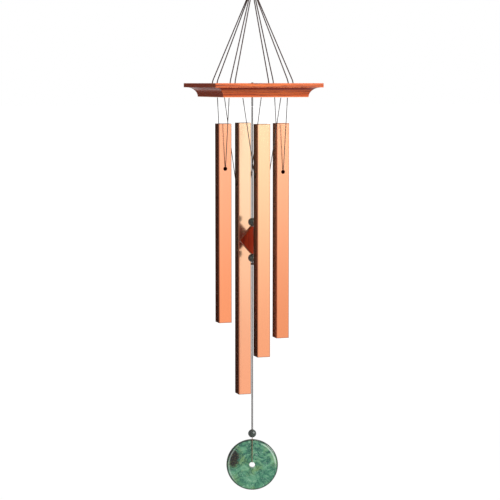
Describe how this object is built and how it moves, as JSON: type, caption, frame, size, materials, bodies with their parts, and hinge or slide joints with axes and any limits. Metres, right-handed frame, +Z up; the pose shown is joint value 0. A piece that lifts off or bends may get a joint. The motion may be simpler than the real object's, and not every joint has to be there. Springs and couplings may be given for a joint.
{
  "type": "wind chime",
  "caption": "Wind chime: square wooden board hung from a ring by cords, square metal tubes, a wooden striker on beads and a stone wind disc below.",
  "frame": {"origin": "inside top of the hanging ring, where a hook carries the chime", "axes": "+Z up along the hanging line, +X to the right and -Y to the front, with the longest tube at the back"},
  "size_m": [0.158, 0.158, 0.7595],
  "materials": {
    "ring_steel": "plain bright steel wire",
    "heavy_cord": "dark brown braided cord",
    "fine_cord": "dark brown thin braided cord",
    "canopy_wood": "cherry-stained wood, satin varnish",
    "striker_wood": "dark cherry-stained wood, satin varnish",
    "tube_metal": "polished copper-coloured anodised aluminium",
    "bead_stone": "polished dark green-grey stone",
    "disc_stone": "polished green marbled stone"
  },
  "bodies": {
    "ring": {"hanging_ring": "ring_steel"},
    "hanger": {"ring_binding": "heavy_cord"},
    "board": {"canopy": "canopy_wood", "suspension_cord_back_left": "heavy_cord", "suspension_cord_back_right": "heavy_cord", "suspension_cord_front_left": "heavy_cord", "suspension_cord_front_right": "heavy_cord", "left_tube_knots": "fine_cord", "back_tube_knots": "fine_cord", "front_tube_knots": "fine_cord", "right_tube_knots": "fine_cord", "centre_cord_knot": "fine_cord"},
    "left_cord": {"left_tube_cord": "fine_cord"},
    "left_tube": {"left_tube": "tube_metal"},
    "back_cord": {"back_tube_cord": "fine_cord"},
    "back_tube": {"back_tube": "tube_metal"},
    "front_cord": {"front_tube_cord": "fine_cord"},
    "front_tube": {"front_tube": "tube_metal"},
    "right_cord": {"right_tube_cord": "fine_cord"},
    "right_tube": {"right_tube": "tube_metal"},
    "neck": {"centre_cord_neck": "fine_cord"},
    "striker_line": {"striker_cord": "fine_cord", "upper_striker_bead": "bead_stone", "lower_striker_bead": "bead_stone", "striker_knot": "fine_cord"},
    "striker": {"striker": "striker_wood"},
    "disc_line": {"disc_cord": "fine_cord"},
    "disc_hanger": {"disc_bead": "bead_stone", "disc_loop": "fine_cord"},
    "disc": {"wind_disc": "disc_stone"}
  },
  "joints": [
    {"name": "chime_swing", "type": "hinge", "parent": "ring", "child": "hanger", "pos_m": [0, 0, -0.0235], "axis": [1, 0, 0], "range_deg": [-20, 20]},
    {"name": "board_turn", "type": "hinge", "parent": "hanger", "child": "board", "pos_m": [0, 0, -0.036], "axis": [0, 0, 1], "range_deg": [-45, 45]},
    {"name": "left_cord_swing", "type": "hinge", "parent": "board", "child": "left_cord", "pos_m": [-0.0433, 0, -0.18738], "axis": [0, -1, 0], "range_deg": [-12, 3]},
    {"name": "left_tube_swing", "type": "hinge", "parent": "left_cord", "child": "left_tube", "pos_m": [-0.0433, 0, -0.2856], "axis": [0, -1, 0], "range_deg": [-8, 1.5]},
    {"name": "back_cord_swing", "type": "hinge", "parent": "board", "child": "back_cord", "pos_m": [0, 0.0433, -0.18738], "axis": [1, 0, 0], "range_deg": [-3, 12]},
    {"name": "back_tube_swing", "type": "hinge", "parent": "back_cord", "child": "back_tube", "pos_m": [0, 0.0433, -0.31104], "axis": [1, 0, 0], "range_deg": [-1.5, 8]},
    {"name": "front_cord_swing", "type": "hinge", "parent": "board", "child": "front_cord", "pos_m": [0, -0.0433, -0.18738], "axis": [1, 0, 0], "range_deg": [-12, 3]},
    {"name": "front_tube_swing", "type": "hinge", "parent": "front_cord", "child": "front_tube", "pos_m": [0, -0.0433, -0.29569], "axis": [1, 0, 0], "range_deg": [-8, 1.5]},
    {"name": "right_cord_swing", "type": "hinge", "parent": "board", "child": "right_cord", "pos_m": [0.0433, 0, -0.18738], "axis": [0, -1, 0], "range_deg": [-3, 12]},
    {"name": "right_tube_swing", "type": "hinge", "parent": "right_cord", "child": "right_tube", "pos_m": [0.0433, 0, -0.29143], "axis": [0, -1, 0], "range_deg": [-1.5, 8]},
    {"name": "striker_swing_front_back", "type": "hinge", "parent": "board", "child": "neck", "pos_m": [0, 0, -0.18735], "axis": [1, 0, 0], "range_deg": [-4, 4]},
    {"name": "striker_swing_side_side", "type": "hinge", "parent": "neck", "child": "striker_line", "pos_m": [0, 0, -0.20005], "axis": [0, -1, 0], "range_deg": [-4, 4]},
    {"name": "striker_turn", "type": "hinge", "parent": "striker_line", "child": "striker", "pos_m": [0, 0, -0.391], "axis": [0, 0, 1], "continuous": true},
    {"name": "disc_cord_swing", "type": "hinge", "parent": "striker_line", "child": "disc_line", "pos_m": [0, 0, -0.4282], "axis": [0.9455, -0.3256, 0], "range_deg": [-10, 10]},
    {"name": "disc_turn", "type": "hinge", "parent": "disc_line", "child": "disc_hanger", "pos_m": [0, 0, -0.6731], "axis": [0, 0, 1], "continuous": true},
    {"name": "disc_rock", "type": "hinge", "parent": "disc_hanger", "child": "disc", "pos_m": [0, 0, -0.7155], "axis": [0.3256, 0.9455, 0], "range_deg": [-25, 25]}
  ]
}
